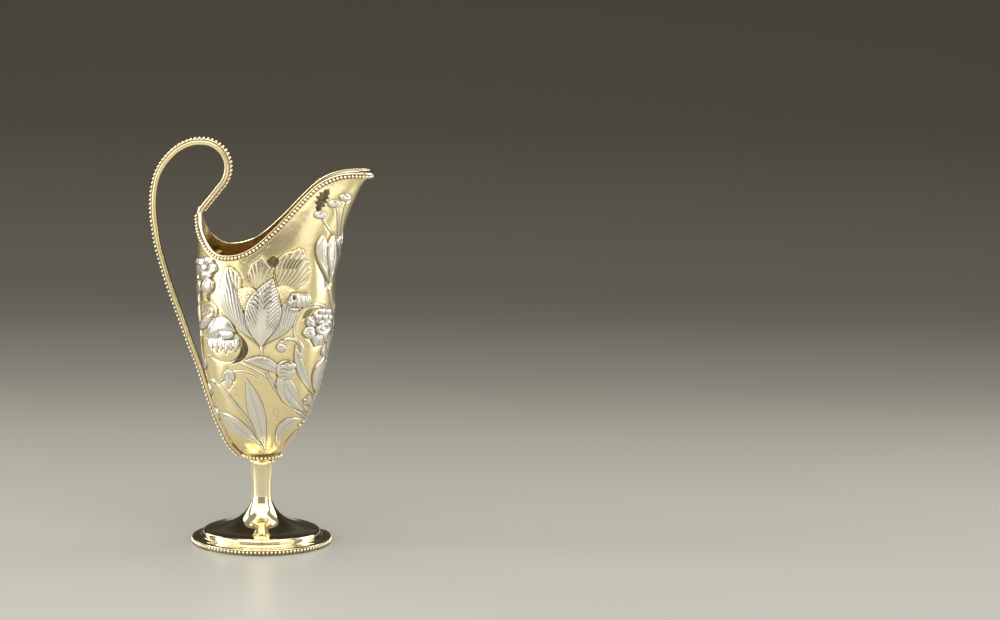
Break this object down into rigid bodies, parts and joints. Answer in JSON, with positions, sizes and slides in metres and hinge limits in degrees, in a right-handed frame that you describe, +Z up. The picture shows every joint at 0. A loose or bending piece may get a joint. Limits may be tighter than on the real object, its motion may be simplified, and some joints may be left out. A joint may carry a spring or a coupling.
{
  "type": "helmet cream jug",
  "caption": "Helmet-shaped cream jug on a stemmed round foot, with a long lip, a high looped strap handle and beaded edges",
  "frame": {"origin": "centre of the foot, on the plane the jug rests on", "axes": "+Z up the stem; +X from the handle towards the pouring lip; +Y across the bowl"},
  "size_m": [0.0887, 0.0564, 0.1625],
  "materials": {
    "bowl_gilt": "chased silver, pale gilt ground",
    "edge_gilt": "polished silver-gilt wire",
    "bead_gilt": "polished silver-gilt beading, worn pale on top",
    "strap_gilt": "polished silver-gilt strap",
    "stem_gilt": "polished silver-gilt",
    "foot_gilt": "highly polished silver-gilt"
  },
  "bodies": {
    "root": {"bowl": "bowl_gilt", "rim_edge_band": "edge_gilt", "rim_bead_wire": "bead_gilt", "handle_strap": "strap_gilt", "handle_bead_wire_left": "bead_gilt", "handle_bead_wire_right": "bead_gilt", "handle_upper_plate": "strap_gilt", "handle_lower_pad": "strap_gilt", "bowl_boss": "stem_gilt", "collar_bead_wire": "bead_gilt", "stem": "stem_gilt", "stem_moulding_ring": "stem_gilt", "knop_ring": "stem_gilt", "foot_dome": "foot_gilt", "foot_plate": "foot_gilt", "foot_bead_wire": "bead_gilt", "foot_base_ring": "foot_gilt"}
  },
  "joints": []
}
